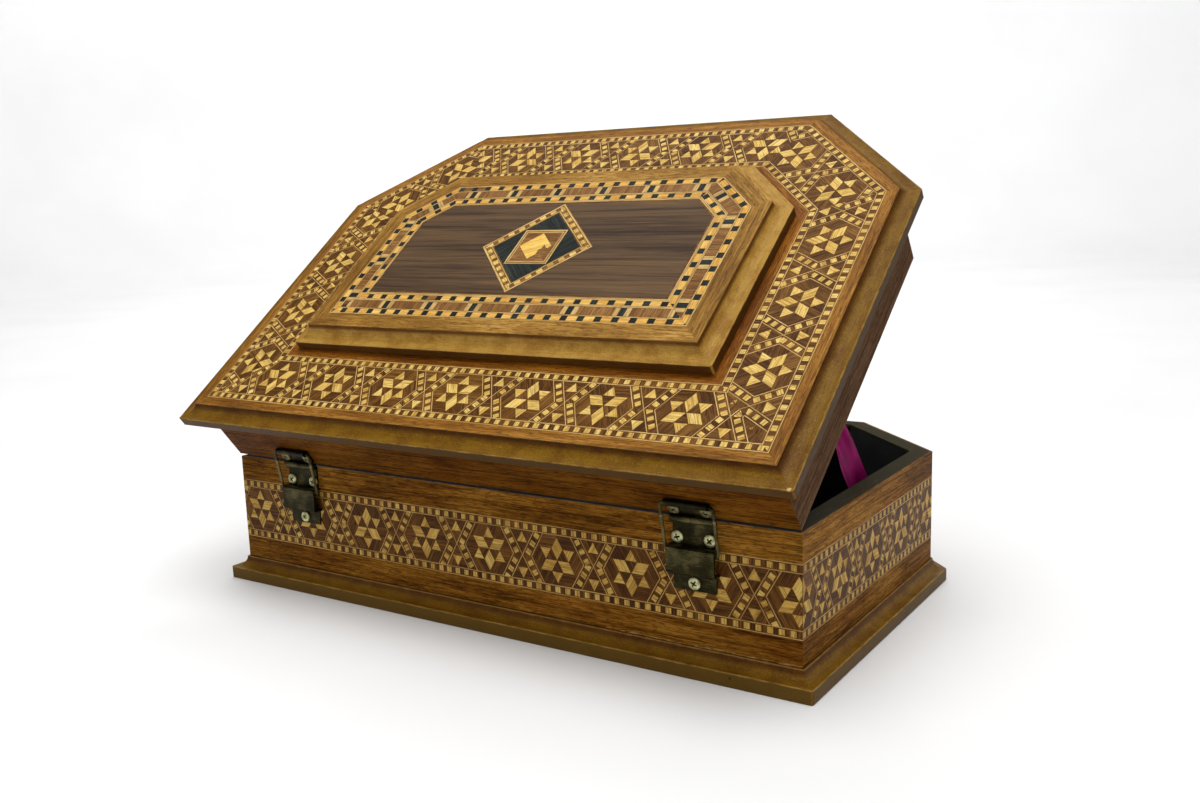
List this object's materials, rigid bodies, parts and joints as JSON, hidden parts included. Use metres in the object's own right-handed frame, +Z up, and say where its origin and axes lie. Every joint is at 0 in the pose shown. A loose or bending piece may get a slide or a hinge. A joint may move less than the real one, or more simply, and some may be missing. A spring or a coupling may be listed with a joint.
{
  "type": "keepsake box",
  "caption": "Keepsake box with cut front corners, star marquetry and a moulded lid that opens on two back stay hinges.",
  "frame": {"origin": "centre of the body's footprint on the resting plane, without the base overhang", "axes": "+X along the length, to the right of someone in front; +Y towards the hinges at the back; +Z up"},
  "size_m": [0.3072, 0.2286, 0.2099],
  "materials": {
    "moulding": "stained and satin varnished",
    "mahogany": "satin varnished veneer",
    "star_marquetry": "satin varnished inlay",
    "check_marquetry": "satin varnished inlay",
    "walnut": "satin varnished veneer",
    "ebony": "satin varnished inlay",
    "boxwood": "satin varnished inlay",
    "velvet": "matte pile",
    "antique_brass": "dark patina",
    "screw_brass": "satin",
    "ribbon": "satin"
  },
  "bodies": {
    "box": {"band_back": "star_marquetry", "band_front": "star_marquetry", "band_front_left": "star_marquetry", "band_front_right": "star_marquetry", "band_left": "star_marquetry", "band_right": "star_marquetry", "base_board": "moulding", "box_leaf_left": "antique_brass", "box_leaf_right": "antique_brass", "box_leaf_screws": "screw_brass", "floor_lining": "velvet", "hinge_pin_left": "antique_brass", "hinge_pin_right": "antique_brass", "lid_ribbon": "ribbon", "wall_back": "mahogany", "wall_front": "mahogany", "wall_front_left": "mahogany", "wall_front_right": "mahogany", "wall_left": "mahogany", "wall_lining_back": "velvet", "wall_lining_front": "velvet", "wall_lining_front_left": "velvet", "wall_lining_front_right": "velvet", "wall_lining_left": "velvet", "wall_lining_right": "velvet", "wall_right": "mahogany"},
    "lid": {"diamond_border": "check_marquetry", "diamond_centre": "mahogany", "diamond_ground": "ebony", "diamond_heart": "boxwood", "lid_band_back": "star_marquetry", "lid_band_front": "star_marquetry", "lid_band_front_left": "star_marquetry", "lid_band_front_right": "star_marquetry", "lid_band_left": "star_marquetry", "lid_band_right": "star_marquetry", "lid_board": "moulding", "lid_leaf_left": "antique_brass", "lid_leaf_right": "antique_brass", "lid_leaf_screws": "screw_brass", "lid_lining": "velvet", "lid_skirt_back": "mahogany", "lid_skirt_front": "mahogany", "lid_skirt_front_left": "mahogany", "lid_skirt_front_right": "mahogany", "lid_skirt_left": "mahogany", "lid_skirt_right": "mahogany", "panel_border_back": "check_marquetry", "panel_border_front": "check_marquetry", "panel_border_front_left": "check_marquetry", "panel_border_front_right": "check_marquetry", "panel_border_left": "check_marquetry", "panel_border_right": "check_marquetry", "panel_field": "walnut", "raised_panel": "moulding"},
    "stay_left": {"stay_wire_left": "antique_brass"},
    "stay_right": {"stay_wire_right": "antique_brass"}
  },
  "joints": [
    {"name": "lid_hinge", "type": "hinge", "parent": "box", "child": "lid", "pos_m": [0, 0.0995, 0.06], "axis": [-1, 0, 0], "range_deg": [-37, 63], "deforming": ["lid_ribbon"]},
    {"name": "stay_left_swing", "type": "hinge", "parent": "lid", "child": "stay_left", "pos_m": [-0.1025, 0.10424, 0.06695], "axis": [-1, 0, 0], "range_deg": [-47, 28]},
    {"name": "stay_right_swing", "type": "hinge", "parent": "lid", "child": "stay_right", "pos_m": [0.1025, 0.10424, 0.06695], "axis": [-1, 0, 0], "range_deg": [-47, 28]}
  ],
  "couplings": [
    {"joint": "stay_left_swing", "follows": "lid_hinge", "ratio": -0.74},
    {"joint": "stay_right_swing", "follows": "lid_hinge", "ratio": -0.74}
  ]
}
